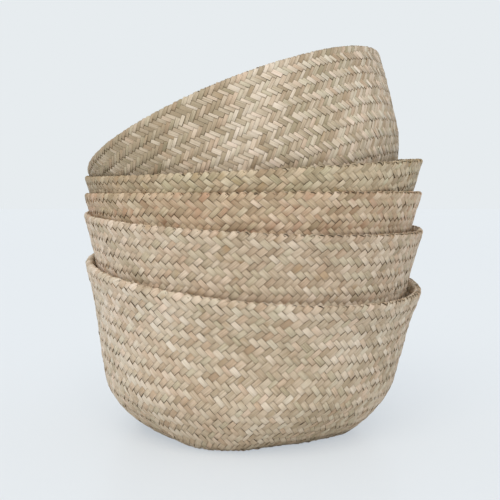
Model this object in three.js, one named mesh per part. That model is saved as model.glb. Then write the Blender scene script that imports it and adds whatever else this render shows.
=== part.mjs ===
// A nested set of five belly baskets, plaited from flat dried sedge strips.
// Each basket has its upper half folded down inside its lower half, so the soft
// fold is the top edge. The highest basket was set in at a slant and stayed so.
// Millimetres, +Z up. The origin is the middle of the lowest basket's underside,
// and the set is seen from the -Y side.

import * as THREE from "three";

// Sizes of one basket
const baseSide = 178; // across the flats of the square bottom mat
const baseCornerRadius = 48;
const wallFootRadius = 142; // where the wall's steady flare would meet the floor
const bellyRadius = 177; // where the steady flare would meet the top of the fold
const lipFlare = 4; // the wall leans out this much more just under the fold
const foldedHeight = 163; // underside to the top of the fold
const edgeRise = 54; // height over which the bottom edge rounds up into the wall
const plaitThickness = 1.8; // one strip over another
const mouthRise = 60; // underside to the finished mouth edge, folded in
const hemHeight = 12; // strip ends turned back at the mouth
const hemThickness = 3;

// Gaps between the solids
const seam = 0.3; // between two zones of one plait
const seatClearance = 0.3; // between a basket and the one that it sits in

// Share of the wall's height at which it starts to lean out more
const lipStartShare = 0.68;

// Roundness of the bottom edge: 2 would make it an ellipse, 1 a straight slope
const edgePower = 1.5;

// How each basket of the set was folded and set down, from the lowest up. The fold may
// lean, which changes its height round the rim, and lie off the middle of the bottom
// mat. The folded half stays a little clear of the outer half, at the fold and at the
// mouth. Leans, shifts, gaps and places are shares of the belly radius.
const basketShares = [
  {
    baseTurnDegrees: 28,
    edgeRiseShare: 1,
    bellyShare: 1,
    lipFlareShare: 1,
    foldHeightShare: 1.03,
    foldLeanShares: [-0.085, 0.083],
    foldShiftShares: [0.045, 0],
    foldGapShare: 0.018,
    mouthGapShare: 0.025,
    placeShares: [0, 0],
    leanDegrees: 0,
    leanTowardDegrees: 0,
  },
  {
    baseTurnDegrees: 12,
    edgeRiseShare: 1,
    bellyShare: 1.005,
    lipFlareShare: 1,
    foldHeightShare: 1.066,
    foldLeanShares: [-0.048, 0.037],
    foldShiftShares: [0.01, 0],
    foldGapShare: 0.0075,
    mouthGapShare: 0.0055,
    placeShares: [0.034, 0],
    leanDegrees: 0,
    leanTowardDegrees: 0,
  },
  {
    baseTurnDegrees: 57,
    edgeRiseShare: 1,
    bellyShare: 1,
    lipFlareShare: 1,
    foldHeightShare: 1,
    foldLeanShares: [0.006, -0.004],
    foldShiftShares: [0, 0],
    foldGapShare: 0.0045,
    mouthGapShare: 0.004,
    placeShares: [0.041, 0],
    leanDegrees: 0,
    leanTowardDegrees: 0,
  },
  {
    baseTurnDegrees: 28,
    edgeRiseShare: 1,
    bellyShare: 1,
    lipFlareShare: 1,
    foldHeightShare: 0.96,
    foldLeanShares: [0.052, 0.038],
    foldShiftShares: [0, 0],
    foldGapShare: 0.0035,
    mouthGapShare: 0.003,
    placeShares: [0.043, 0],
    leanDegrees: 0,
    leanTowardDegrees: 0,
  },
  {
    baseTurnDegrees: 72,
    edgeRiseShare: 1.6,
    bellyShare: 0.95,
    lipFlareShare: 0,
    foldHeightShare: 1.014,
    foldLeanShares: [0, 0],
    foldShiftShares: [0, 0],
    foldGapShare: 0.011,
    mouthGapShare: 0.014,
    placeShares: [0.272, -0.122],
    leanDegrees: 23,
    leanTowardDegrees: 162,
  },
];

// How finely the round shapes are cut into flats
const sidesAround = 40;
const edgeSteps = 5;
const lipSteps = 2;
const foldSteps = 4;
const seatSteps = 5;
const searchSteps = 40;

// Distance from the middle of the bottom mat to its edge, along a direction
function matRadius(angle) {
  const quarter = Math.PI / 2;
  const inQuarter = ((angle % quarter) + quarter) % quarter;
  const fromSide = Math.min(inQuarter, quarter - inQuarter);
  const half = baseSide / 2;
  const flat = half - baseCornerRadius;
  if (Math.tan(fromSide) <= flat / half) return half / Math.cos(fromSide);
  const cornerReach = Math.hypot(flat, flat);
  const fromCorner = Math.PI / 4 - fromSide;
  const across = cornerReach * Math.sin(fromCorner);
  return cornerReach * Math.cos(fromCorner) + Math.sqrt(baseCornerRadius ** 2 - across ** 2);
}

function foldTop(basket, angle) {
  const lean = basket.foldLean[0] * Math.cos(angle) + basket.foldLean[1] * Math.sin(angle);
  return basket.foldHeight + lean;
}

// The flaring wall's radius at a height, and how fast it grows there
function wallAt(basket, angle, rise) {
  const top = foldTop(basket, angle);
  const up = rise / top;
  const lipUp = Math.max(0, (up - lipStartShare) / (1 - lipStartShare));
  const spread = basket.belly - wallFootRadius;
  const lipGrowth = (2 * basket.lipFlare * lipUp) / (1 - lipStartShare);
  return [wallFootRadius + spread * up + basket.lipFlare * lipUp ** 2, (spread + lipGrowth) / top];
}

// A point of the plait, counted up the outside from the underside (rise) and inwards
// along the plait's own normal (depth), as [radius, height]
function plaitPoint(basket, angle, rise, depth) {
  const footGap = wallFootRadius - matRadius(angle - basket.baseTurn) - seam;
  const [wallRadius, growth] = wallAt(basket, angle, rise);
  const below = Math.max(0, 1 - rise / basket.edgeRise);
  const rest = 1 - below ** edgePower;
  const radius = wallRadius - footGap * (1 - rest ** (1 / edgePower));
  const upward = rest ** (1 - 1 / edgePower);
  const outward = growth * upward + (footGap / basket.edgeRise) * below ** (edgePower - 1);
  const length = Math.hypot(outward, upward);
  return [radius - (depth * upward) / length, rise + (depth * outward) / length];
}

// Where the wall ends and the round of the fold begins
function wallTop(basket, angle) {
  const top = foldTop(basket, angle);
  const [, growth] = wallAt(basket, angle, top);
  return top - seam - (basket.foldWidth / 2) * (1 + growth / Math.hypot(1, growth));
}

function mouthBottom(basket, angle) {
  return mouthRise + foldTop(basket, angle) - foldedHeight;
}

// Depth of the folded half's outer face, from the fold down to the mouth
function linerDepth(basket, angle, rise) {
  const top = wallTop(basket, angle);
  const bottom = mouthBottom(basket, angle);
  const down = THREE.MathUtils.clamp((top - rise) / (top - bottom), 0, 1);
  return THREE.MathUtils.lerp(basket.foldWidth - plaitThickness, basket.mouthStandOff, down);
}

// Rises round the bottom edge, closest together where it turns most
function edgeRises(basket) {
  return Array.from({ length: edgeSteps }, (_, step) => {
    const turn = (step / edgeSteps) * (Math.PI / 2);
    return basket.edgeRise * (1 - Math.cos(turn) ** (2 / edgePower));
  });
}

// Rises up the wall from a given one: straight to the lip, and then round it
function wallRises(basket, angle, from) {
  const lipStart = lipStartShare * foldTop(basket, angle);
  const top = wallTop(basket, angle);
  const lip = Array.from({ length: lipSteps + 1 }, (_, step) => {
    return THREE.MathUtils.lerp(lipStart, top, step / lipSteps);
  });
  return [from, ...lip];
}

// A section between an outer and an inner face, that run from the first rise to the last
function shellSection(basket, angle, rises, outerDepthAt, innerDepthAt) {
  const outer = rises.map((rise) => plaitPoint(basket, angle, rise, outerDepthAt(rise)));
  const inner = rises.map((rise) => plaitPoint(basket, angle, rise, innerDepthAt(rise)));
  return [...outer, ...inner.reverse()];
}

// Half a circle over the wall's top, from the outer face to the inner face
function foldArc(basket, angle, radius, steps) {
  const rise = wallTop(basket, angle) + seam;
  const [, growth] = wallAt(basket, angle, rise);
  const slant = Math.hypot(1, growth);
  const [middleRadius, middleHeight] = plaitPoint(basket, angle, rise, basket.foldWidth / 2);
  return Array.from({ length: steps + 1 }, (_, step) => {
    const turn = (step / steps) * Math.PI;
    const away = radius * Math.cos(turn);
    const along = radius * Math.sin(turn);
    return [
      middleRadius + (away + along * growth) / slant,
      middleHeight + (along - away * growth) / slant,
    ];
  });
}

// The whole outside of a basket in section, from the bottom mat to the inner side of the fold
function outsideSection(basket, angle) {
  const rises = [...edgeRises(basket), ...wallRises(basket, angle, basket.edgeRise)];
  const wall = rises.map((rise) => plaitPoint(basket, angle, rise, 0));
  return [...wall, ...foldArc(basket, angle, basket.foldWidth / 2, foldSteps)];
}

// A section's point, turned to its angle. The basket leans with its shifted fold.
function placedPoint(basket, angle, [radius, height]) {
  const up = height / basket.foldHeight;
  return new THREE.Vector3(
    radius * Math.cos(angle) + basket.foldShift[0] * up,
    radius * Math.sin(angle) + basket.foldShift[1] * up,
    height,
  );
}

function sideAngle(basket, side) {
  return basket.baseTurn + (side / sidesAround) * 2 * Math.PI;
}

function solidGeometry(points, indices) {
  const geometry = new THREE.BufferGeometry().setFromPoints(points);
  geometry.setIndex(indices);
  geometry.computeVertexNormals();
  return geometry;
}

// Joins a closed section, given for each angle, into a ring
function ringGeometry(basket, sectionAt) {
  const points = [];
  for (let side = 0; side < sidesAround; side++) {
    const angle = sideAngle(basket, side);
    for (const corner of sectionAt(angle)) points.push(placedPoint(basket, angle, corner));
  }
  const cornerCount = points.length / sidesAround;
  const indices = [];
  for (let side = 0; side < sidesAround; side++) {
    const start = side * cornerCount;
    const nextStart = ((side + 1) % sidesAround) * cornerCount;
    for (let corner = 0; corner < cornerCount; corner++) {
      const nextCorner = (corner + 1) % cornerCount;
      indices.push(start + corner, nextStart + corner, nextStart + nextCorner);
      indices.push(start + corner, nextStart + nextCorner, start + nextCorner);
    }
  }
  return solidGeometry(points, indices);
}

// The bottom mat is the square start of the plait, and lies flat
function baseGeometry(basket) {
  const points = [0, plaitThickness].map((height) => placedPoint(basket, 0, [0, height]));
  const indices = [];
  for (let side = 0; side < sidesAround; side++) {
    const angle = sideAngle(basket, side);
    const reach = matRadius(angle - basket.baseTurn);
    points.push(placedPoint(basket, angle, [reach, 0]), placedPoint(basket, angle, [reach, plaitThickness]));
    const low = 2 + 2 * side;
    const nextLow = 2 + 2 * ((side + 1) % sidesAround);
    indices.push(0, nextLow, low, 1, low + 1, nextLow + 1);
    indices.push(low, nextLow, nextLow + 1, low, nextLow + 1, low + 1);
  }
  return solidGeometry(points, indices);
}

// The strips turn up off the bottom mat through this soft rounded edge
function bottomEdgeGeometry(basket) {
  return ringGeometry(basket, (angle) => {
    const rises = [...edgeRises(basket), basket.edgeRise];
    return shellSection(basket, angle, rises, () => 0, () => plaitThickness);
  });
}

// The lower half of the plait, from the bottom edge up to the fold
function outerWallGeometry(basket) {
  return ringGeometry(basket, (angle) => {
    const rises = wallRises(basket, angle, basket.edgeRise + seam);
    return shellSection(basket, angle, rises, () => 0, () => plaitThickness);
  });
}

// The fold: the plait turns over through half a circle and heads down inside
function foldGeometry(basket) {
  const outerRadius = basket.foldWidth / 2;
  return ringGeometry(basket, (angle) => {
    const outer = foldArc(basket, angle, outerRadius, foldSteps);
    const inner = foldArc(basket, angle, outerRadius - plaitThickness, foldSteps / 2);
    return [...outer, ...inner.reverse()];
  });
}

// The upper half of the plait, folded down inside and narrowing to the mouth. It starts
// a seam above the hem, point for point.
function innerWallGeometry(basket) {
  return ringGeometry(basket, (angle) => {
    const rises = wallRises(basket, angle, mouthBottom(basket, angle) + hemHeight);
    const depthAt = (rise) => linerDepth(basket, angle, rise);
    const section = shellSection(basket, angle, rises, depthAt, (rise) => depthAt(rise) + plaitThickness);
    section.at(0)[1] += seam;
    section.at(-1)[1] += seam;
    return section;
  });
}

// The mouth edge: strip ends turned back and tucked in, so it is thicker
function mouthHemGeometry(basket) {
  return ringGeometry(basket, (angle) => {
    const bottom = mouthBottom(basket, angle);
    const depthAt = (rise) => linerDepth(basket, angle, rise);
    const rises = [bottom, bottom + hemHeight];
    return shellSection(basket, angle, rises, depthAt, (rise) => depthAt(rise) + hemThickness);
  });
}

// Free radius inside a basket at a height over its underside, up to the flat between
// two corners of its ring
function freeRadius(basket, angle, height) {
  if (height > foldTop(basket, angle)) return Infinity;
  const bottom = mouthBottom(basket, angle);
  let depth = plaitThickness;
  if (height > wallTop(basket, angle)) depth = basket.foldWidth;
  else if (height > bottom + hemHeight) depth += linerDepth(basket, angle, height);
  else if (height > bottom - hemThickness) depth = hemThickness + linerDepth(basket, angle, height);
  const [radius] = plaitPoint(basket, angle, height, 0);
  const [insideRadius] = plaitPoint(basket, angle, height, depth);
  const levelShare = (radius - insideRadius) / depth;
  const halfSide = Math.PI / sidesAround;
  const fromCorner = THREE.MathUtils.euclideanModulo(angle - basket.baseTurn, 2 * halfSide);
  const flatShare = Math.cos(halfSide) / Math.cos(fromCorner - halfSide);
  return (radius - depth / levelShare) * flatShare;
}

// Points all over a basket's outside
function outsidePoints(basket) {
  const points = [];
  for (let side = 0; side < sidesAround; side++) {
    const angle = sideAngle(basket, side);
    const section = outsideSection(basket, angle).map((corner) => placedPoint(basket, angle, corner));
    for (let corner = 1; corner < section.length; corner++) {
      for (let step = 0; step <= seatSteps; step++) {
        points.push(section[corner - 1].clone().lerp(section[corner], step / seatSteps));
      }
    }
  }
  return points;
}

// Whether a basket clears the one below when the middle of its underside is at a level
function clearsAt(level, basket, below, points) {
  const place = new THREE.Vector3(basket.place.x, basket.place.y, level);
  const backTurn = below.turn.clone().invert();
  return points.every((point) => {
    const inBelow = point.clone().applyQuaternion(basket.turn).add(place);
    inBelow.sub(below.place).applyQuaternion(backTurn);
    const up = inBelow.z / below.foldHeight;
    const x = inBelow.x - below.foldShift[0] * up;
    const y = inBelow.y - below.foldShift[1] * up;
    if (inBelow.z < plaitThickness + seatClearance) return false;
    return Math.hypot(x, y) + seatClearance <= freeRadius(below, Math.atan2(y, x), inBelow.z);
  });
}

// The lowest level at which a basket clears the one below: it is let down until it seats
function seatLevel(basket, below) {
  const points = outsidePoints(basket);
  let blocked = below.place.z;
  let clear = below.place.z + 2 * below.foldHeight;
  for (let step = 0; step < searchSteps; step++) {
    const middle = (blocked + clear) / 2;
    if (clearsAt(middle, basket, below, points)) clear = middle;
    else blocked = middle;
  }
  return clear;
}

function basketFrom(shares, below) {
  const towards = THREE.MathUtils.degToRad(shares.leanTowardDegrees);
  const leanAxis = new THREE.Vector3(-Math.sin(towards), Math.cos(towards), 0);
  const [x, y] = shares.placeShares.map((share) => bellyRadius * share);
  const basket = {
    baseTurn: THREE.MathUtils.degToRad(shares.baseTurnDegrees),
    edgeRise: edgeRise * shares.edgeRiseShare,
    belly: bellyRadius * shares.bellyShare,
    lipFlare: lipFlare * shares.lipFlareShare,
    foldHeight: foldedHeight * shares.foldHeightShare,
    foldLean: shares.foldLeanShares.map((share) => bellyRadius * share),
    foldShift: shares.foldShiftShares.map((share) => bellyRadius * share),
    foldWidth: 2 * plaitThickness + seam + bellyRadius * shares.foldGapShare,
    mouthStandOff: plaitThickness + seam + bellyRadius * shares.mouthGapShare,
    place: new THREE.Vector3(x, y, 0),
    turn: new THREE.Quaternion().setFromAxisAngle(leanAxis, THREE.MathUtils.degToRad(shares.leanDegrees)),
  };
  if (below) basket.place.z = seatLevel(basket, below);
  return basket;
}

// The strips dried to slightly different colours, basket by basket
const plaitColours = [0xc0b196, 0xbfb095, 0xbda88c, 0xbbab8e, 0xc2b398];

const zones = {
  base: baseGeometry,
  bottom_edge: bottomEdgeGeometry,
  outer_wall: outerWallGeometry,
  belly_fold: foldGeometry,
  inner_wall: innerWallGeometry,
  mouth_hem: mouthHemGeometry,
};

const basketSet = new THREE.Group();
let below = null;
basketShares.forEach((shares, order) => {
  const basket = basketFrom(shares, below);
  const group = new THREE.Group();
  group.position.copy(basket.place);
  group.quaternion.copy(basket.turn);
  const sedge = new THREE.MeshStandardMaterial({
    color: plaitColours[order],
    roughness: 0.75,
    metalness: 0,
  });
  for (const [zone, geometryOf] of Object.entries(zones)) {
    const mesh = new THREE.Mesh(geometryOf(basket), sedge);
    mesh.name = `basket_${order + 1}_${zone}`;
    group.add(mesh);
  }
  basketSet.add(group);
  below = basket;
});

export default basketSet;
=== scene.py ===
import math
from types import SimpleNamespace

import bmesh
import bpy
import numpy as np
from mathutils import Matrix


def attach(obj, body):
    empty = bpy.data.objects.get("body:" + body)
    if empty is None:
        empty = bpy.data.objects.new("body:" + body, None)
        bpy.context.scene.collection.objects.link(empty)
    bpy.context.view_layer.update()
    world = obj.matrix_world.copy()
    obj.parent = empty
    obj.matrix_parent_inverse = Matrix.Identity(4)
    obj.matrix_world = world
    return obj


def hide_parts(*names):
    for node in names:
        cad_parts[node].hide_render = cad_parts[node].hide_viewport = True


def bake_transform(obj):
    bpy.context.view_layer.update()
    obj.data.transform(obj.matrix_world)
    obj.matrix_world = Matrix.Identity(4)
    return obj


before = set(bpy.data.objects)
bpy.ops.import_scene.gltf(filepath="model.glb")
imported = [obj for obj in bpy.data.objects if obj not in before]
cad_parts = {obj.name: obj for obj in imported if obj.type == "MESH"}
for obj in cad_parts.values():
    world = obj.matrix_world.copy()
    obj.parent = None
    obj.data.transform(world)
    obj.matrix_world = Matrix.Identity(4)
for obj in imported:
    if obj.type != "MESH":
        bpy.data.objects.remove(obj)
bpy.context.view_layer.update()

# The camera stands level in front of the set, a little above its middle, and the picture
# is shifted down to take in the floor.
camera_place = (0.0038, -0.963, 0.251)
camera_lens = 63.8
horizon_share = -0.116

camera_data = bpy.data.cameras.new("camera")
camera_data.lens = camera_lens
camera_data.shift_y = horizon_share
camera = bpy.data.objects.new("camera", camera_data)
camera.location = camera_place
camera.rotation_euler = (math.radians(90), 0, 0)
bpy.context.collection.objects.link(camera)
bpy.context.scene.camera = camera
bpy.context.scene.view_settings.view_transform = "Standard"


def linear(hex_colour):
    """An sRGB hex colour as linear red, green, blue and alpha."""
    parts = [int(hex_colour[place:place + 2], 16) / 255 for place in (1, 3, 5)]
    levels = [
        part / 12.92 if part <= 0.04045 else ((part + 0.055) / 1.055) ** 2.4 for part in parts
    ]
    return (*levels, 1)


def add_node(tree, kind, inputs, **settings):
    """Adds a node with its settings. Each named or numbered input gets a value or a link."""
    node = tree.nodes.new(kind)
    for name, value in settings.items():
        setattr(node, name, value)
    for name, value in inputs.items():
        if isinstance(value, bpy.types.NodeSocket):
            tree.links.new(value, node.inputs[name])
        else:
            node.inputs[name].default_value = value
    return node


# Soft studio light. A pale room lights the set from all round, and one broad lamp stands
# at the front left. What the camera sees of the room is the plain backdrop.
backdrop_colour = "#e7ecef"
room_colour = "#eef4ff"
room_strength = 0.85
lamp_colour = "#fff9ee"
lamp_strength = 1.75
lamp_spread = math.radians(50)
lamp_turn = (math.radians(46), 0, math.radians(-9))

world = bpy.data.worlds.new("studio")
world.use_nodes = True
world.node_tree.nodes.clear()
rays = add_node(world.node_tree, "ShaderNodeLightPath", {})
seen = add_node(
    world.node_tree, "ShaderNodeMath",
    {0: rays.outputs["Is Camera Ray"], 1: rays.outputs["Is Glossy Ray"]}, operation="MAXIMUM",
)
seen_through = add_node(
    world.node_tree, "ShaderNodeMath",
    {0: seen.outputs[0], 1: rays.outputs["Is Transmission Ray"]}, operation="MAXIMUM",
)
room = add_node(
    world.node_tree, "ShaderNodeBackground",
    {"Color": linear(room_colour), "Strength": room_strength},
)
backdrop = add_node(
    world.node_tree, "ShaderNodeBackground", {"Color": linear(backdrop_colour)}
)
shown = add_node(
    world.node_tree, "ShaderNodeMixShader",
    {0: seen_through.outputs[0], 1: room.outputs[0], 2: backdrop.outputs[0]},
)
add_node(world.node_tree, "ShaderNodeOutputWorld", {"Surface": shown.outputs[0]})
bpy.context.scene.world = world

lamp_data = bpy.data.lights.new("lamp", "SUN")
lamp_data.energy = lamp_strength
lamp_data.angle = lamp_spread
lamp_data.color = linear(lamp_colour)[:3]
lamp = bpy.data.objects.new("lamp", lamp_data)
lamp.rotation_euler = lamp_turn
bpy.context.collection.objects.link(lamp)

# The floor is a sheet of pale glossy acrylic, as wide as the view, that runs into the
# backdrop and faintly mirrors the lowest basket. More than half of what the camera sees of
# it is the backdrop's own pale colour, so that shadows on it stay faint.
floor_half = 12.0
floor_colour = "#dfe0dc"
floor_roughness = 0.3
floor_ior = 1.3
floor_backdrop_colour = "#e6edf4"
floor_backdrop_share = 0.6

floor_shape = bmesh.new()
bmesh.ops.create_grid(floor_shape, x_segments=1, y_segments=1, size=floor_half)
floor_mesh = bpy.data.meshes.new("floor")
floor_shape.to_mesh(floor_mesh)
floor_shape.free()
floor = bpy.data.objects.new("floor", floor_mesh)
bpy.context.collection.objects.link(floor)

floor_acrylic = bpy.data.materials.new("pale_acrylic")
floor_acrylic.use_nodes = True
floor_acrylic.node_tree.nodes.clear()
floor_face = add_node(
    floor_acrylic.node_tree, "ShaderNodeBsdfPrincipled",
    {"Base Color": linear(floor_colour), "Roughness": floor_roughness, "IOR": floor_ior},
)
floor_rays = add_node(floor_acrylic.node_tree, "ShaderNodeLightPath", {})
floor_seen = add_node(
    floor_acrylic.node_tree, "ShaderNodeMath",
    {0: floor_rays.outputs["Is Camera Ray"], 1: floor_backdrop_share}, operation="MULTIPLY",
)
floor_backdrop = add_node(
    floor_acrylic.node_tree, "ShaderNodeEmission", {"Color": linear(floor_backdrop_colour)}
)
floor_shown = add_node(
    floor_acrylic.node_tree, "ShaderNodeMixShader",
    {0: floor_seen.outputs[0], 1: floor_face.outputs[0], 2: floor_backdrop.outputs[0]},
)
add_node(
    floor_acrylic.node_tree, "ShaderNodeOutputMaterial", {"Surface": floor_shown.outputs[0]}
)
floor_mesh.materials.append(floor_acrylic)

# The lowest basket, outer half. The plait of 132 strips each way climbs from the square
# bottom mat round a soft edge to the belly, where it is folded down inside. Each strip
# goes over two and under two, so its floats lie in level rows, parallel to the fold.
strips_each_way = 132
strip_width = 0.0054
strips_over = 2
steepest_strip = math.radians(66)
plait_thickness = 0.0018
base_side = 0.178
base_corner_radius = 0.048
wall_foot_radius = 0.142
belly_radius = 0.177
lip_flare = 0.004
lip_start_share = 0.68
folded_height = 0.163
edge_rise = 0.054
edge_power = 1.5
mouth_rise = 0.060
seam = 0.0003


def mat_reach(angle):
    """Distance from the middle of the bottom mat to its edge, along a direction."""
    from_side = np.mod(angle, math.pi / 2)
    from_side = np.minimum(from_side, math.pi / 2 - from_side)
    half = base_side / 2
    flat = half - base_corner_radius
    corner_reach = math.hypot(flat, flat)
    across = corner_reach * np.sin(math.pi / 4 - from_side)
    round_corner = corner_reach * np.cos(math.pi / 4 - from_side)
    round_corner = round_corner + np.sqrt(np.maximum(base_corner_radius**2 - across**2, 0))
    return np.where(np.tan(from_side) <= flat / half, half / np.cos(from_side), round_corner)


def fold_top(basket, angle):
    """Height of the fold's crest over the basket's underside."""
    lean = basket.fold_lean
    return basket.fold_height + lean[0] * np.cos(angle) + lean[1] * np.sin(angle)


def mouth_level(basket, angle):
    """Height of the mouth's edge, which hangs inside, over the basket's underside."""
    return mouth_rise + fold_top(basket, angle) - folded_height


def plait_point(basket, angle, rise, depth):
    """Radius and height of a point, by its rise up the outside and its depth inwards."""
    top = fold_top(basket, angle)
    lip_up = np.maximum(0, (rise / top - lip_start_share) / (1 - lip_start_share))
    spread = basket.belly - wall_foot_radius
    growth = (spread + 2 * basket.lip_flare * lip_up / (1 - lip_start_share)) / top
    foot_gap = wall_foot_radius - mat_reach(angle - basket.base_turn) - seam
    below = np.maximum(0, 1 - rise / basket.edge_rise)
    rest = 1 - below**edge_power
    radius = wall_foot_radius + spread * rise / top + basket.lip_flare * lip_up**2
    radius = radius - foot_gap * (1 - rest ** (1 / edge_power))
    upward = rest ** (1 - 1 / edge_power)
    outward = growth * upward + foot_gap / basket.edge_rise * below ** (edge_power - 1)
    length = np.hypot(outward, upward)
    return radius - depth * upward / length, rise + depth * outward / length


def growth_at_top(basket, angle):
    """How much the wall widens for each metre of height where it reaches the fold."""
    spread = basket.belly - wall_foot_radius + 2 * basket.lip_flare / (1 - lip_start_share)
    return spread / fold_top(basket, angle)


def wall_top(basket, angle):
    """Rise at which the wall ends and the round of the fold begins."""
    growth = growth_at_top(basket, angle)
    round_height = basket.fold_width / 2 * (1 + growth / np.hypot(1, growth))
    return fold_top(basket, angle) - seam - round_height


def liner_depth(basket, angle, rise):
    """Depth of the folded half's outer face, from the fold down to the mouth."""
    top = wall_top(basket, angle)
    down = np.clip((top - rise) / (top - mouth_level(basket, angle)), 0, 1)
    return (basket.fold_width - plait_thickness) * (1 - down) + basket.mouth_stand_off * down


# The surface is kept as tables, by the angle round the basket and the distance down the
# plait. Rows of cells are counted down it, and the crest lies half a row above row 0.
angle_steps = 240
all_angles = np.linspace(0, 2 * math.pi, angle_steps, endpoint=False)
distance_step = 0.0005
short_of_the_end = 1.001
least_normal = 0.1
crest_row = -0.5


def surface_from_lines(basket, radius, height, crest):
    """The tables, from one line of points down the plait at each angle."""
    steps = np.hypot(np.diff(radius, axis=1), np.diff(height, axis=1))
    along = np.concatenate([np.zeros((len(radius), 1)), np.cumsum(steps, axis=1)], axis=1)
    along -= along[:, crest:crest + 1]
    distances = np.arange(along[:, 0].max(), along[:, -1].min(), distance_step)
    table = [
        np.array([np.interp(distances, *line) for line in zip(along, values)])
        for values in (radius, height)
    ]
    slopes = [np.gradient(values, distance_step, axis=1) for values in table]
    girth = 2 * math.pi * table[0].mean(axis=0)
    strips_round = basket.strips * basket.strip_width / girth
    steepness = np.minimum(strips_round, math.sin(steepest_strip))
    width = steepness * girth / basket.strips
    row_steps = 2 * np.sqrt(1 - steepness**2) / width * distance_step
    rows = np.concatenate([[0], np.cumsum(row_steps)[:-1]])
    rows += crest_row - np.interp(0, distances, rows)
    return SimpleNamespace(
        basket=basket, distances=distances, rows=rows, radius=table[0], height=table[1],
        normal_radius=-slopes[1], normal_height=slopes[0],
    )


def read_table(surface, table, angle, distance):
    """A table's value at each angle and distance."""
    turn = np.mod(angle, 2 * math.pi) / (2 * math.pi) * angle_steps
    down = (distance - surface.distances[0]) / distance_step
    down = np.clip(down, 0, table.shape[1] - short_of_the_end)
    side, step = turn.astype(int), down.astype(int)
    turn_share, down_share = turn - side, down - step
    side = side % angle_steps
    next_side = (side + 1) % angle_steps
    near = table[side, step] * (1 - down_share) + table[side, step + 1] * down_share
    far = table[next_side, step] * (1 - down_share) + table[next_side, step + 1] * down_share
    return near * (1 - turn_share) + far * turn_share


def surface_place(surface, angle, distance, lift):
    """Places on the surface, lifted off it, in the set's own frame."""
    basket = surface.basket
    normal_radius = read_table(surface, surface.normal_radius, angle, distance)
    normal_height = read_table(surface, surface.normal_height, angle, distance)
    length = np.maximum(np.hypot(normal_radius, normal_height), least_normal)
    radius = read_table(surface, surface.radius, angle, distance)
    radius = radius + lift * normal_radius / length
    height = read_table(surface, surface.height, angle, distance)
    height = height + lift * normal_height / length
    up = height / basket.fold_height
    x = radius * np.cos(angle) + basket.fold_shift[0] * up
    y = radius * np.sin(angle) + basket.fold_shift[1] * up
    return np.stack([x, y, height], axis=-1) @ basket.turn.T + basket.place


# A strip climbs out of a dip over ramp_cells. It is laid for 33 floats below the crest
# and cut off where it reaches the mat, and the lining stops just short of the mouth's edge.
ramp_cells = 0.16
wall_floats = 33
mouth_gap_rows = 0.6
under_mat_reach = 0.02
# How finely the line down the plait is drawn, finest at its foot.
wall_samples = 161
fold_samples = 41
foot_crowding = 1.5


def fold_basket(
    base_turn, fold_height_share, fold_lean_shares, fold_shift_share, fold_gap_share,
    mouth_gap_share, place, belly_share=1, edge_rise_share=1, lip_share=1, lean=0,
    lean_toward=0, strips=strips_each_way, over=strips_over,
):
    """One basket's sizes, and the middle of its plait from the mouth over the fold to the mat."""
    lean_axis = (-math.sin(lean_toward), math.cos(lean_toward), 0)
    basket = SimpleNamespace(
        base_turn=base_turn,
        belly=belly_radius * belly_share,
        edge_rise=edge_rise * edge_rise_share,
        lip_flare=lip_flare * lip_share,
        fold_height=folded_height * fold_height_share,
        fold_lean=[belly_radius * share for share in fold_lean_shares],
        fold_shift=(belly_radius * fold_shift_share, 0),
        fold_width=2 * plait_thickness + seam + belly_radius * fold_gap_share,
        mouth_stand_off=plait_thickness + seam + belly_radius * mouth_gap_share,
        place=np.array(place),
        turn=np.array(Matrix.Rotation(lean, 3, lean_axis)),
        strips=strips,
        strip_width=strip_width * strips_each_way / strips,
        over=over,
        ramp=ramp_cells * over / strips_over,
        mat_row=wall_floats * over,
    )
    angle = all_angles[:, None]
    middle = plait_thickness / 2
    shares = np.linspace(0, 1, wall_samples)[None, :]

    # The folded half, from the mouth up to the fold.
    top = wall_top(basket, angle)
    bottom = mouth_level(basket, angle)
    inner_rise = bottom + (top - bottom) * shares
    inner_depth = liner_depth(basket, angle, inner_rise) + middle
    inner = plait_point(basket, angle, inner_rise, inner_depth)

    # The round of the fold.
    growth = growth_at_top(basket, angle)
    slant = np.hypot(1, growth)
    turn = np.linspace(math.pi, 0, fold_samples)[None, 1:-1]
    away = (basket.fold_width / 2 - middle) * np.cos(turn)
    along = (basket.fold_width / 2 - middle) * np.sin(turn)
    centre = plait_point(basket, angle, top + seam, basket.fold_width / 2)
    fold = (
        centre[0] + (away + along * growth) / slant, centre[1] + (along - away * growth) / slant
    )

    # The outer half, down to its foot and in under the bottom mat.
    outer = plait_point(basket, angle, top * (1 - shares) ** foot_crowding, middle)
    edge = mat_reach(angle - basket.base_turn)
    under = (edge - shares[:, 1:] * under_mat_reach, middle + 0 * angle * shares[:, 1:])

    radius = np.concatenate([inner[0], fold[0], outer[0], under[0]], axis=1)
    height = np.concatenate([inner[1], fold[1], outer[1], under[1]], axis=1)
    crest = inner[0].shape[1] + fold[0].shape[1] // 2
    basket.plait = surface_from_lines(basket, radius, height, crest)
    basket.mouth_row = basket.plait.rows[0] + mouth_gap_rows

    # How far it is from the crest down to the mat's edge, at each angle.
    whole = np.cumsum(np.hypot(np.diff(radius, axis=1), np.diff(height, axis=1)), axis=1)
    at_mat = radius.shape[1] - under[0].shape[1] - 1
    basket.down_to_mat = whole[:, at_mat - 1] - whole[:, crest - 1]
    return basket


# Nine waves lie over each other, and seldom more than five of them are in step.
uneven_waves = 9
waves_in_step = 5


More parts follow.
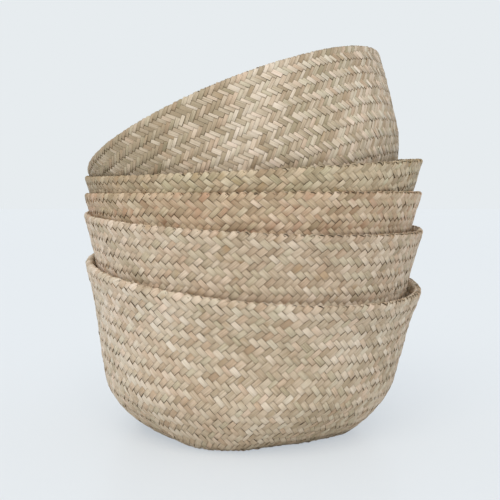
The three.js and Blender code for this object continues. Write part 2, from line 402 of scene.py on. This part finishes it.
def unevenness(seed, angle, distance, reach):
    """Smooth hand-made unevenness between -1 and 1, over waves about as long as the reach."""
    chance = np.random.default_rng(seed)
    most_around = round(2 * math.pi * belly_radius / reach)
    total = 0
    for _ in range(uneven_waves):
        around = int(chance.integers(1, 2 + most_around))
        down = chance.uniform(-2 * math.pi, 2 * math.pi) / reach
        phase = chance.uniform(0, 2 * math.pi)
        total = total + np.cos(around * angle + down * distance + phase)
    return total / waves_in_step


def straight_strips(strip_count, station_count):
    """Straight strips side by side: X counts stations, Y strips, Z is their face or back."""
    strips = bmesh.new()
    bmesh.ops.create_cube(strips, size=1)
    bmesh.ops.translate(strips, verts=strips.verts, vec=(0.5, 0, 0))
    bmesh.ops.scale(strips, verts=strips.verts, vec=(station_count - 1, 0.5, 1))
    long_edges = [
        edge for edge in strips.edges if abs(edge.verts[0].co.x - edge.verts[1].co.x) > 0.5
    ]
    bmesh.ops.subdivide_edges(
        strips, edges=long_edges, cuts=station_count - 2, use_grid_fill=True
    )
    made = 1
    while made < strip_count:
        whole = strips.verts[:] + strips.edges[:] + strips.faces[:]
        copied = bmesh.ops.duplicate(strips, geom=whole)
        copied_verts = [part for part in copied["geom"] if isinstance(part, bmesh.types.BMVert)]
        bmesh.ops.translate(strips, verts=copied_verts, vec=(0, made, 0))
        made *= 2
    spare = [vert for vert in strips.verts if vert.co.y > strip_count - 0.5]
    bmesh.ops.delete(strips, geom=spare, context="VERTS")
    mesh = bpy.data.meshes.new("strips")
    strips.to_mesh(mesh)
    strips.free()
    flat = np.empty(len(mesh.vertices) * 3)
    mesh.vertices.foreach_get("co", flat)
    flat = flat.reshape(-1, 3)
    strip = np.rint(flat[:, 1]).astype(int)
    side = np.sign(flat[:, 1] - strip)
    return mesh, strip, np.rint(flat[:, 0]).astype(int), side, np.sign(flat[:, 2])


# What each strip keeps for its material: its tone, its cast and how deep it lies, and the lines
# that its fibres follow. Strips that run one way are painted a little paler and the others a
# little darker, a painted sheen for how the light catches their fibres.
tone_evenness = 2.2
one_way_painted_sheen = 0.07
fibre_strip_gap = 3
weld_distance = 1e-7
sharp_turn = math.radians(50)


def finish_plait(name, basket, mesh, places, strip, side, along, sunk, seed):
    """Lays the strips at their places, welds what was cut off, and notes their own colour."""
    mesh.vertices.foreach_set("co", places.ravel())
    chance = np.random.default_rng(seed)
    strip_count = strip.max() + 1
    tone = chance.beta(tone_evenness, tone_evenness, strip_count)
    # Painted sheen: strips of one way are made paler and those of the other way darker.
    tone += np.where(np.arange(strip_count) < basket.strips, -one_way_painted_sheen, one_way_painted_sheen)
    cast, slid = chance.random((2, strip_count))
    own = np.stack([tone[strip], cast[strip], sunk], axis=1)
    sedge = mesh.attributes.new("sedge", "FLOAT_VECTOR", "POINT")
    sedge.data.foreach_set("vector", own.astype(np.float32).ravel())
    fibre = mesh.attributes.new("fibre", "FLOAT_VECTOR", "POINT")
    across = (side / 2 + strip * fibre_strip_gap) * strip_width
    lines = np.stack([along + slid[strip], across, side], axis=1)
    fibre.data.foreach_set("vector", lines.astype(np.float32).ravel())
    shape = bmesh.new()
    shape.from_mesh(mesh)
    bmesh.ops.remove_doubles(shape, verts=shape.verts, dist=weld_distance)
    bmesh.ops.recalc_face_normals(shape, faces=shape.faces)
    shape.to_mesh(mesh)
    shape.free()
    mesh.shade_smooth()
    mesh.set_sharp_from_angle(angle=sharp_turn)
    mesh.name = name
    piece = bpy.data.objects.new(name, mesh)
    bpy.context.collection.objects.link(piece)
    return piece


# The weave. A strip dips half a cell from where it crosses another, and arches between
# its dips. It has more stations near the crest, where it lies tighter.
strip_thickness = 0.0008
half_cell = 0.5
weave_lift = 0.00104
arch_share = 0.35
crest_tightness = 0.35
crest_reach = 1.75
crest_step = 0.25
least_station_gap = 0.15


def stations_between(basket, start, end):
    """Cells at which a strip is bent: at each end of a dip, halfway, and near the crest."""
    first_dip = math.floor(start / basket.over) * basket.over - half_cell
    dips = np.arange(first_dip, end + basket.over, basket.over)
    near_crest = np.arange(-crest_reach, crest_reach + crest_step / 2, crest_step)
    near_crest = crest_row + near_crest * basket.over / strips_over
    ends = [dips - basket.ramp, dips + basket.ramp]
    halfway = [dips + 1] if basket.over == strips_over else []
    places = np.concatenate([*ends, *halfway, near_crest, [start, end]])
    places = np.unique(np.round(places[(places >= start) & (places <= end)], 3))
    keep = np.concatenate([[True], np.diff(places[:-1]) > least_station_gap, [True]])
    return places[keep]


def weave_height(basket, cells, goes_first):
    """Lift of a strip's middle, arched over two cells, or three, and under the next as many."""
    wave = np.mod(cells + half_cell, 2 * basket.over)
    from_dip = np.minimum(np.mod(wave, basket.over), basket.over - np.mod(wave, basket.over))
    rise = (1 - arch_share) * np.clip(from_dip / basket.ramp, 0, 1)
    rise = rise + arch_share * np.sin(from_dip * math.pi / basket.over)
    return np.where(wave < basket.over, 1, -1) * rise * np.where(goes_first, 1, -1)


# A strip's middle stays this share of its thickness above what the basket rests on.
pressed_share = 0.7
least_downward = 0.05


def rest_flat(surface, angle, distance, lift):
    """Presses a strip's middle flat where the basket rests on it."""
    normal_radius = read_table(surface, surface.normal_radius, angle, distance)
    normal_height = read_table(surface, surface.normal_height, angle, distance)
    downward = -normal_height / np.hypot(normal_radius, normal_height)
    height = read_table(surface, surface.height, angle, distance)
    room = (height - pressed_share * strip_thickness) / np.maximum(downward, least_downward)
    return np.where(normal_height < 0, np.minimum(lift, room), lift)


# Nothing in hand plaiting is even: the strips' borders wander and waver, their thickness
# and their lift differ, they tilt, their rows drift, and the wall bulges.
tuck_under_mat = 0.004
crack_share = 0.025
border_wander = 0.1
most_wander = 0.2
border_fill = 0.97
border_waver = 0.05
waver_length = 0.05
row_drift = 0.0016
row_drift_length = 0.11
row_drift_start = 0.02
wall_bulge = 0.0009
wall_bulge_length = 0.09
wall_bulge_start = 0.03
crest_bulge_share = 0.25
thickness_spread = 0.12
thickness_limits = (0.7, 1.3)
lift_spread = 0.5
lift_length = 0.02
strip_tilt = 0.0003
tilt_length = 0.015
# These start each strip at its own place in the waves.
waver_phase, lift_phase, tilt_phase = 5, 7, 11


def lay_plait(name, basket, start_row, end_row, seed):
    """Plaits both ways over the basket's surface, between two rows counted from the crest."""
    surface = basket.plait
    cells = stations_between(basket, start_row, end_row)
    mesh, strip, station, side, face = straight_strips(2 * basket.strips, len(cells))
    chance = np.random.default_rng(seed)
    rightward = np.arange(2 * basket.strips) >= basket.strips
    way = np.where(rightward, 1, -1)
    pitch = 2 * math.pi / basket.strips
    start_angle = pitch * np.arange(2 * basket.strips)

    # A strip ends a little way in under the bottom mat.
    centre_angle = start_angle[:, None] + way[:, None] * pitch * cells[None, :] / 2
    centre_angle = np.mod(centre_angle, 2 * math.pi)
    centre_distance = np.interp(cells, surface.rows, surface.distances)[None, :]
    to_mat = np.interp(centre_angle, all_angles, basket.down_to_mat, period=2 * math.pi)
    beyond = centre_distance > to_mat + tuck_under_mat
    last = np.where(beyond.any(axis=1), beyond.argmax(axis=1), len(cells) - 1)
    cell = cells[np.minimum(station, last[strip])]

    # Neighbours share a border, and a strip dips where the borders that it crosses lie.
    wander = chance.normal(0, border_wander, (2, basket.strips))
    leftward_border, rightward_border = np.clip(wander, -most_wander, most_wander)
    border = np.concatenate([leftward_border, rightward_border])
    far_border = np.concatenate([np.roll(leftward_border, -1), np.roll(rightward_border, 1)])
    far_border = far_border + 1 - crack_share
    width = far_border - border
    slide = (far_border + border - 1) / 2
    last_dip = basket.over * np.floor((cell + half_cell) / basket.over).astype(int)
    crossing_border = [
        np.where(
            rightward[strip],
            leftward_border[np.mod(strip + dip, basket.strips)],
            rightward_border[np.mod(strip - dip, basket.strips)],
        )
        for dip in (last_dip, last_dip + basket.over)
    ]
    past_dip = np.mod(cell + half_cell, basket.over) - basket.ramp
    past_dip = np.clip(past_dip / (basket.over - 2 * basket.ramp), 0, 1)
    over = weave_height(basket, cell, ~rightward[strip])
    cell = cell + crossing_border[0] * (1 - past_dip) + crossing_border[1] * past_dip

    down = cell * basket.strip_width
    waver = unevenness(seed + 1, start_angle[strip] * waver_phase, down, waver_length)
    fill = border_fill + border_waver * waver
    across = slide[strip] + side * width[strip] / 2 * fill
    angle = start_angle[strip] + way[strip] * pitch * (cell - across) / 2
    distance = np.interp(cell + across, surface.rows, surface.distances)
    drift = row_drift * unevenness(seed + 2, angle, distance, row_drift_length)
    distance = distance + drift * np.clip(np.abs(distance) / row_drift_start, 0, 1)
    bulge = wall_bulge * unevenness(seed + 3, angle, distance, wall_bulge_length)
    bulge = bulge * np.clip(np.abs(distance) / wall_bulge_start, crest_bulge_share, 1)
    thickness = chance.normal(1, thickness_spread, 2 * basket.strips)
    thickness = strip_thickness * np.clip(thickness, *thickness_limits)
    springy = unevenness(seed + 5, start_angle[strip] * lift_phase, down, lift_length)
    springy = 1 + lift_spread * springy
    tight = 1 - crest_tightness * np.exp(-(((cell - crest_row) / basket.over) ** 2))
    tilt = unevenness(seed + 6, start_angle[strip] * tilt_phase, down, tilt_length)
    tilt = strip_tilt * side * tilt
    lift = weave_lift * over * springy * tight + bulge + tilt
    middle = rest_flat(surface, angle, distance, lift)
    places = surface_place(surface, angle, distance, middle + face * thickness[strip] / 2)
    # How deep the strip lies here; the material uses it as the mask for painted crack shade.
    sunk = (1 - over * face) / 2
    return finish_plait(name, basket, mesh, places, strip, side, down, sunk, seed + 4)


# Dried sedge, split flat and left undyed: straw coloured, with green, pink and brown casts from
# strip to strip, and a dull waxy skin. Stretches of some strips dried brown. The cracks where a
# strip goes under are darkened in patches with painted shade, and each basket's left and right
# sides get painted light and shade.
sedge_roughness = 0.5
sedge_ior = 1.45
sedge_specular = 0.35
green_cast = "#eeeee2"
cool_cast = "#f7f4ec"
warm_cast = "#faf4ec"
pink_cast = "#f8ebe0"
# Painted shade: the dark colour laid into the cracks where a strip dives under another.
crack_shade_colour = "#43341f"
# The fibres are finer than the picture can show, so they are drawn a millimetre apart.
fibre_spacing = 0.001
fibre_length = 0.03
fibre_height = 0.0003
fibre_bump = 0.3
edge_turn = 0.00007
blotch_size = 0.045
stain_length = 0.022
stain_widths = 0.3
# What moves a strip's tone, and where on its scale the three straw colours stand.
fibre_contrast = 1.6
blotch_contrast = 0.6
fade_contrast = 0.9
tone_spread = 0.45
tone_start = -0.395
dark_tone = 0.3
middle_tone = 0.55
light_tone = 0.85
# How sharply stains and the painted shade in the cracks set in, and how dark they get.
stain_border = 0.12
stain_share = 0.6
crack_start, crack_end = 0.2, 0.56
shade_patch_start, shade_patch_end = 0.42, 0.66
least_crack_shade, most_crack_shade = 0.1, 0.9


def sedge_material(name, dark, middle, light, stain, least_stain, left_painted_light, right_painted_light):
    """Sedge in a basket's three straw colours, with its stains, its painted crack shade, and the
    painted light and shade that its left and right sides are given.
    """
    material = bpy.data.materials.new(name)
    material.use_nodes = True
    tree = material.node_tree
    tree.nodes.clear()
    strip = add_node(tree, "ShaderNodeAttribute", {}, attribute_name="sedge")
    own = add_node(tree, "ShaderNodeSeparateXYZ", {0: strip.outputs["Vector"]})
    lines = add_node(tree, "ShaderNodeAttribute", {}, attribute_name="fibre")
    line_parts = add_node(tree, "ShaderNodeSeparateXYZ", {0: lines.outputs["Vector"]})
    stretched = add_node(
        tree, "ShaderNodeMapping",
        {0: lines.outputs["Vector"], "Scale": (1 / fibre_length, 1 / fibre_spacing, 0)},
    )
    fibres = add_node(
        tree, "ShaderNodeTexNoise", {"Vector": stretched.outputs[0], "Scale": 1.0, "Detail": 3.0}
    )
    object_place = add_node(tree, "ShaderNodeTexCoord", {})
    blotches = add_node(
        tree, "ShaderNodeTexNoise",
        {"Vector": object_place.outputs["Object"], "Scale": 1 / blotch_size, "Detail": 2.0},
    )
    streaked = add_node(
        tree, "ShaderNodeMath", {0: fibres.outputs[0], 1: fibre_contrast, 2: own.outputs[0]},
        operation="MULTIPLY_ADD",
    )
    aged = add_node(
        tree, "ShaderNodeMath",
        {0: blotches.outputs[0], 1: blotch_contrast, 2: streaked.outputs[0]},
        operation="MULTIPLY_ADD",
    )
    stain_place = add_node(
        tree, "ShaderNodeMapping",
        {0: lines.outputs["Vector"], "Scale": (1 / stain_length, stain_widths / strip_width, 0)},
    )
    stains = add_node(
        tree, "ShaderNodeTexNoise",
        {"Vector": stain_place.outputs[0], "Scale": 1.0, "Detail": 1.0},
    )
    stain_parts = add_node(tree, "ShaderNodeSeparateXYZ", {0: stains.outputs["Color"]})
    faded = add_node(
        tree, "ShaderNodeMath",
        {0: stain_parts.outputs[1], 1: fade_contrast, 2: aged.outputs[0]},
        operation="MULTIPLY_ADD",
    )
    object_parts = add_node(
        tree, "ShaderNodeSeparateXYZ", {0: object_place.outputs["Object"]}
    )
    # Painted light and shade by side: the tone is shifted across the left and the right of the
    # set, as the light falls there, and made darker where the value is below nought.
    left_light = add_node(
        tree, "ShaderNodeMapRange",
        {
            "Value": object_parts.outputs[0], "From Min": -belly_radius, "From Max": 0.0,
            "To Min": left_painted_light + tone_start, "To Max": tone_start,
        },
    )
    right_light = add_node(
        tree, "ShaderNodeMapRange",
        {
            "Value": object_parts.outputs[0], "From Min": 0.0, "From Max": belly_radius,
            "To Min": 0.0, "To Max": right_painted_light,
        },
    )
    left_lit_tone = add_node(
        tree, "ShaderNodeMath", {0: faded.outputs[0], 1: tone_spread, 2: left_light.outputs[0]},
        operation="MULTIPLY_ADD",
    )
    tone = add_node(
        tree, "ShaderNodeMath", {0: left_lit_tone.outputs[0], 1: right_light.outputs[0]},
        operation="ADD",
    )
    straw = add_node(tree, "ShaderNodeValToRGB", {0: tone.outputs[0]})
    straw.color_ramp.elements[0].position = dark_tone
    straw.color_ramp.elements[0].color = linear(dark)
    straw.color_ramp.elements[1].position = light_tone
    straw.color_ramp.elements[1].color = linear(light)
    straw.color_ramp.elements.new(middle_tone).color = linear(middle)
    cast = add_node(tree, "ShaderNodeValToRGB", {0: own.outputs[1]})
    cast.color_ramp.elements[0].color = linear(green_cast)
    cast.color_ramp.elements[1].color = linear(pink_cast)
    cast.color_ramp.elements.new(0.25).color = linear(cool_cast)
    cast.color_ramp.elements.new(0.75).color = linear(warm_cast)
    # A Mix node takes its two colours at its inputs 6 and 7.
    tinted = add_node(
        tree, "ShaderNodeMix", {0: 1.0, 6: straw.outputs[0], 7: cast.outputs[0]},
        data_type="RGBA", blend_type="MULTIPLY",
    )
    stained = add_node(
        tree, "ShaderNodeMapRange",
        {
            "Value": stains.outputs[0], "From Min": least_stain,
            "From Max": least_stain + stain_border, "To Min": 0.0, "To Max": stain_share,
        },
    )
    browned = add_node(
        tree, "ShaderNodeMix", {0: stained.outputs[0], 6: tinted.outputs[2], 7: linear(stain)},
        data_type="RGBA",
    )
    # Painted shade: where a strip dips under another it is darkened towards the crack shade
    # colour, in patches set by the stain noise.
    crack = add_node(
        tree, "ShaderNodeMapRange",
        {
            "Value": own.outputs[2], "From Min": crack_start, "From Max": crack_end,
            "To Min": 0.0, "To Max": 1.0,
        },
    )
    shade_patchiness = add_node(
        tree, "ShaderNodeMapRange",
        {
            "Value": stain_parts.outputs[2], "From Min": shade_patch_start, "From Max": shade_patch_end,
            "To Min": least_crack_shade, "To Max": most_crack_shade,
        },
    )
    crack_shade = add_node(
        tree, "ShaderNodeMath", {0: crack.outputs[0], 1: shade_patchiness.outputs[0]},
        operation="MULTIPLY",
    )
    crack_shaded = add_node(
        tree, "ShaderNodeMix",
        {0: crack_shade.outputs[0], 6: browned.outputs[2], 7: linear(crack_shade_colour)}, data_type="RGBA",
    )
    hollow = add_node(
        tree, "ShaderNodeMath", {0: line_parts.outputs[2], 1: line_parts.outputs[2]},
        operation="MULTIPLY",
    )
    rounded = add_node(
        tree, "ShaderNodeBump",
        {"Strength": 1.0, "Distance": edge_turn, "Height": hollow.outputs[0]}, invert=True,
    )
    bump = add_node(
        tree, "ShaderNodeBump",
        {
            "Strength": fibre_bump, "Distance": fibre_height,
            "Height": fibres.outputs[0], "Normal": rounded.outputs[0],
        },
    )
    skin = add_node(
        tree, "ShaderNodeBsdfPrincipled",
        {
            "Base Color": crack_shaded.outputs[2], "Roughness": sedge_roughness, "IOR": sedge_ior,
            "Specular IOR Level": sedge_specular, "Normal": bump.outputs[0],
        },
    )
    add_node(tree, "ShaderNodeOutputMaterial", {"Surface": skin.outputs[0]})
    return material


basket_1 = fold_basket(
    base_turn=math.radians(28), fold_height_share=1.03, fold_lean_shares=(-0.085, 0.083),
    fold_shift_share=0.045, fold_gap_share=0.018, mouth_gap_share=0.025, place=(0, 0, 0),
)
sedge_1 = sedge_material(
    "dried_sedge_1", dark="#b09f89", middle="#cdbfac", light="#e4dace", stain="#a88f6e",
    least_stain=0.64, left_painted_light=0.13, right_painted_light=0.0,
)
outer_1 = lay_plait("basket_1_outer_plait", basket_1, crest_row, basket_1.mat_row, seed=11)
outer_1.data.materials.append(sedge_1)
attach(outer_1, "basket_1")
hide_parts("basket_1_outer_wall", "basket_1_belly_fold", "basket_1_bottom_edge")

# Its upper half, the same plait folded down inside as a lining. It runs from the crest
# of the fold to the mouth.
inner_1 = lay_plait("basket_1_inner_plait", basket_1, basket_1.mouth_row, crest_row, seed=11)
inner_1.data.materials.append(sedge_1)
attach(inner_1, "basket_1")
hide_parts("basket_1_inner_wall")

# Its bottom mat, the flat square start of the plait. The strips run cornerwise to its
# sides, and it lies over the turned-in ends of the wall.
mat_lift = 0.0021
mat_overlap = 0.007
mat_edge_rise = 0.0016
mat_spare_cells = 4
mat_station_reach = 0.3
mat_strip_share = 0.9
mat_strip_spread = 0.05
mat_strip_limits = (0.7, 1.0)
mat_samples = 400


def lay_mat(name, basket, seed):
    """Plaits the flat bottom mat."""
    reach = mat_reach(np.array([math.pi / 4]))[0] + mat_overlap
    count = 2 * math.ceil(reach / basket.strip_width)
    cells = stations_between(basket, -count - mat_spare_cells, count + mat_spare_cells)
    from_float = np.abs(np.mod(cells + half_cell, basket.over) - basket.over / 2)
    cells = cells[from_float > basket.over / 2 - mat_station_reach]
    mesh, strip, station, side, face = straight_strips(2 * count, len(cells))
    chance = np.random.default_rng(seed)
    crossways = strip >= count
    cell = cells[station]
    place_across = np.mod(strip, count) - (count - 1) / 2
    along = (cell + np.where(crossways, 1, 0) + place_across) * basket.strip_width
    share = chance.normal(mat_strip_share, mat_strip_spread, 2 * count)
    width = np.clip(share, *mat_strip_limits) * basket.strip_width

    # Each strip is cut off where its line leaves the mat.
    samples = np.linspace(-reach, reach, mat_samples)
    ends = np.zeros((2 * count, 2))
    for order in range(2 * count):
        line_across = (order % count - (count - 1) / 2) * basket.strip_width
        if order < count:
            line_angle = np.arctan2(line_across, samples)
        else:
            line_angle = np.arctan2(samples, line_across)
        edge = mat_reach(line_angle + math.pi / 4) + mat_overlap
        inside = samples[np.hypot(samples, line_across) <= edge]
        ends[order] = (inside[0], inside[-1]) if len(inside) else (0, 0)
    along = np.clip(along, ends[strip, 0], ends[strip, 1])
    across = place_across * basket.strip_width + side * width[strip] / 2
    x = np.where(crossways, across, along)
    y = np.where(crossways, along, across)

    past_edge = np.hypot(x, y) - mat_reach(np.arctan2(y, x) + math.pi / 4)
    over = weave_height(basket, cell, True)
    height = mat_lift + mat_edge_rise * np.maximum(0, past_edge / mat_overlap) ** 2
    height = height + weave_lift * over + face * strip_thickness / 2
    turn = basket.base_turn + math.pi / 4
    turned_x = x * math.cos(turn) - y * math.sin(turn)
    turned_y = x * math.sin(turn) + y * math.cos(turn)
    places = np.stack([turned_x, turned_y, height], axis=-1) @ basket.turn.T + basket.place
    # How deep the strip lies here; the material uses it as the mask for painted crack shade.
    sunk = (1 - over * face) / 2
    return finish_plait(name, basket, mesh, places, strip, side, along, sunk, seed + 1)


mat_1 = lay_mat("basket_1_bottom_mat", basket_1, seed=13)
mat_1.data.materials.append(sedge_1)
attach(mat_1, "basket_1")
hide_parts("basket_1_base")

# Its mouth hem. The strip ends are turned back over the edge side by side and tucked in,
# so the edge is twice as thick.
hem_height = 0.012
hem_outer_share = 0.8
hem_turn_radius = 0.0011
hem_samples = 25
hem_turn_samples = 13
hem_end_rows = 0.55
hem_step = 0.25
hem_strip_half = 0.49


def lay_hem(name, basket, seed):
    """Turns the strip ends over the mouth edge, one beside the other."""
    angle = all_angles[:, None]
    bottom = mouth_level(basket, angle)
    shares = np.linspace(0, 1, hem_samples)[None, :]
    turn = np.linspace(0, math.pi, hem_turn_samples)[None, 1:-1]
    low = bottom + hem_turn_radius + strip_thickness
    inner_rise = low + (bottom + hem_height - low) * (1 - shares)
    outer_rise = low + (bottom + hem_height * hem_outer_share - low) * shares
    turn_rise = low - hem_turn_radius * np.sin(turn)
    face_depth = liner_depth(basket, angle, low) + plait_thickness / 2
    inner_depth = face_depth + hem_turn_radius + 0 * shares
    outer_depth = face_depth - hem_turn_radius + 0 * shares
    turn_depth = face_depth + hem_turn_radius * np.cos(turn)
    rises = np.concatenate([inner_rise, turn_rise, outer_rise], axis=1)
    depths = np.concatenate([inner_depth, turn_depth, outer_depth], axis=1)
    radius, height = plait_point(basket, angle, rises, depths)
    crest = inner_rise.shape[1] + turn_rise.shape[1] // 2
    surface = surface_from_lines(basket, radius, height, crest)

    cells = np.arange(surface.rows[0] + hem_end_rows, surface.rows[-1] - hem_end_rows, hem_step)
    mesh, strip, station, side, face = straight_strips(basket.strips, len(cells))
    cell = cells[station]
    across = side * hem_strip_half
    turned = 2 * math.pi / basket.strips * (strip + (cell - across) / 2)
    distance = np.interp(cell + across, surface.rows, surface.distances)
    lift = face * strip_thickness / 2 + side * strip_thickness / 4
    places = surface_place(surface, turned, distance, lift)
    along = cell * basket.strip_width
    return finish_plait(name, basket, mesh, places, strip, side, along, 0 * cell, seed)


hem_1 = lay_hem("basket_1_turned_hem", basket_1, seed=14)
hem_1.data.materials.append(sedge_1)
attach(hem_1, "basket_1")
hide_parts("basket_1_mouth_hem")

# The second basket, of the same make. It stands in the first one, and its fold is
# drawn tighter.
basket_2 = fold_basket(
    base_turn=math.radians(12), fold_height_share=1.066, fold_lean_shares=(-0.048, 0.037),
    fold_shift_share=0.01, fold_gap_share=0.0075, mouth_gap_share=0.0055,
    place=(0.00602, 0, 0.04817), belly_share=1.005,
)
sedge_2 = sedge_material(
    "dried_sedge_2", dark="#ae9b86", middle="#cbbba7", light="#e3d6c8", stain="#a5845c",
    least_stain=0.61, left_painted_light=0.18, right_painted_light=0.02,
)
outer_2 = lay_plait("basket_2_outer_plait", basket_2, crest_row, basket_2.mat_row, seed=21)
inner_2 = lay_plait("basket_2_inner_plait", basket_2, basket_2.mouth_row, crest_row, seed=21)
mat_2 = lay_mat("basket_2_bottom_mat", basket_2, seed=23)
hem_2 = lay_hem("basket_2_turned_hem", basket_2, seed=24)
for piece in (outer_2, inner_2, mat_2, hem_2):
    piece.data.materials.append(sedge_2)
    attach(piece, "basket_2")
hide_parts("basket_2_outer_wall", "basket_2_belly_fold", "basket_2_bottom_edge")
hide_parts("basket_2_inner_wall")
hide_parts("basket_2_base")
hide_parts("basket_2_mouth_hem")

# The third basket, of browner strips. Its fold lies almost level.
basket_3 = fold_basket(
    base_turn=math.radians(57), fold_height_share=1, fold_lean_shares=(0.006, -0.004),
    fold_shift_share=0, fold_gap_share=0.0045, mouth_gap_share=0.004,
    place=(0.00726, 0, 0.08747),
)
sedge_3 = sedge_material(
    "dried_sedge_3", dark="#aa957c", middle="#c9b59c", light="#e1d1bf", stain="#b0876a",
    least_stain=0.55, left_painted_light=-0.09, right_painted_light=0.08,
)
outer_3 = lay_plait("basket_3_outer_plait", basket_3, crest_row, basket_3.mat_row, seed=31)
inner_3 = lay_plait("basket_3_inner_plait", basket_3, basket_3.mouth_row, crest_row, seed=31)
mat_3 = lay_mat("basket_3_bottom_mat", basket_3, seed=33)
hem_3 = lay_hem("basket_3_turned_hem", basket_3, seed=34)
for piece in (outer_3, inner_3, mat_3, hem_3):
    piece.data.materials.append(sedge_3)
    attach(piece, "basket_3")
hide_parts("basket_3_outer_wall", "basket_3_belly_fold", "basket_3_bottom_edge")
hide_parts("basket_3_inner_wall")
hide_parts("basket_3_base")
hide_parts("basket_3_mouth_hem")

# The fourth basket, folded a little lower. It carries the slanted one.
basket_4 = fold_basket(
    base_turn=math.radians(28), fold_height_share=0.96, fold_lean_shares=(0.052, 0.038),
    fold_shift_share=0, fold_gap_share=0.0035, mouth_gap_share=0.003,
    place=(0.00761, 0, 0.12140),
)
sedge_4 = sedge_material(
    "dried_sedge_4", dark="#ac9b82", middle="#cbbda4", light="#e3dac6", stain="#a58a60",
    least_stain=0.61, left_painted_light=-0.3, right_painted_light=-0.06,
)
outer_4 = lay_plait("basket_4_outer_plait", basket_4, crest_row, basket_4.mat_row, seed=41)
inner_4 = lay_plait("basket_4_inner_plait", basket_4, basket_4.mouth_row, crest_row, seed=41)
mat_4 = lay_mat("basket_4_bottom_mat", basket_4, seed=43)
hem_4 = lay_hem("basket_4_turned_hem", basket_4, seed=44)
for piece in (outer_4, inner_4, mat_4, hem_4):
    piece.data.materials.append(sedge_4)
    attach(piece, "basket_4")
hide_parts("basket_4_outer_wall", "basket_4_belly_fold", "basket_4_bottom_edge")
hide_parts("basket_4_inner_wall")
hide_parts("basket_4_base")
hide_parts("basket_4_mouth_hem")

# The highest basket, of the palest and finest strips, each over three and under three, set
# in at a slant. Its lining pulls up out of it with the mouth hem, and bends at the fold.
basket_5 = fold_basket(
    base_turn=math.radians(72), fold_height_share=1.014, fold_lean_shares=(0, 0),
    fold_shift_share=0, fold_gap_share=0.011, mouth_gap_share=0.014,
    place=(0.04814, -0.02159, 0.18091), belly_share=0.95, edge_rise_share=1.6, lip_share=0,
    lean=math.radians(23), lean_toward=math.radians(162), strips=198, over=3,
)
sedge_5 = sedge_material(
    "dried_sedge_5", dark="#a99a83", middle="#d0c3b1", light="#ebe1d7", stain="#b39a7a",
    least_stain=0.62, left_painted_light=-0.36, right_painted_light=-0.14,
)
outer_5 = lay_plait("basket_5_outer_plait", basket_5, crest_row, basket_5.mat_row, seed=51)
inner_5 = lay_plait("basket_5_inner_plait", basket_5, basket_5.mouth_row, crest_row, seed=51)
mat_5 = lay_mat("basket_5_bottom_mat", basket_5, seed=53)
hem_5 = lay_hem("basket_5_turned_hem", basket_5, seed=54)
for piece in (outer_5, inner_5, mat_5, hem_5):
    piece.data.materials.append(sedge_5)
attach(outer_5, "basket_5")
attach(mat_5, "basket_5")
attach(hem_5, "basket_5_mouth")
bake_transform(inner_5)
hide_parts("basket_5_outer_wall", "basket_5_belly_fold", "basket_5_bottom_edge")
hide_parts("basket_5_inner_wall")
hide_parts("basket_5_base")
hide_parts("basket_5_mouth_hem")
